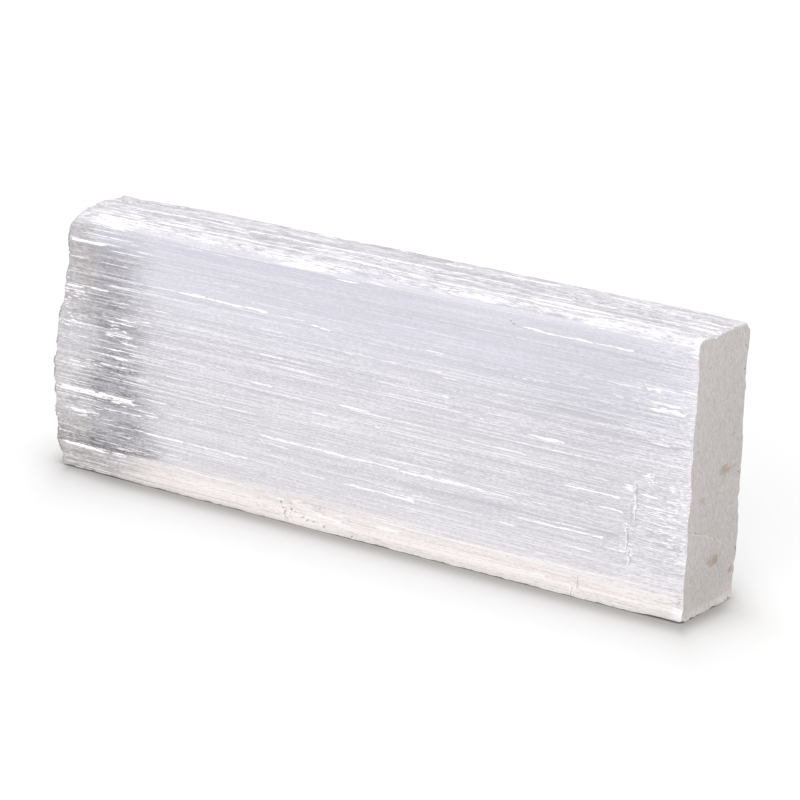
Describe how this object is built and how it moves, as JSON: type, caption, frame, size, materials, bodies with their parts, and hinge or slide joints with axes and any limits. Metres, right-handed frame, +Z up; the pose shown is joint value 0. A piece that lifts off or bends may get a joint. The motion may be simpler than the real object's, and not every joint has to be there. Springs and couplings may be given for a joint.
{
  "type": "selenite bar",
  "caption": "Rough bar of white fibrous gypsum standing on a long narrow side, with a sawn end, a broken end and splintered, silky faces.",
  "frame": {"origin": "under the middle of the bar, on the long narrow face it rests on", "axes": "+X along the fibres towards the sawn end, -Y out of the front broad face, +Z up"},
  "size_m": [0.167, 0.0228, 0.0609],
  "materials": {
    "satin_spar": "silky, cloudy white along the fibres, with torn white streaks; chalky and matt on the sawn end"
  },
  "bodies": {
    "root": {"selenite_bar": "satin_spar"}
  },
  "joints": []
}
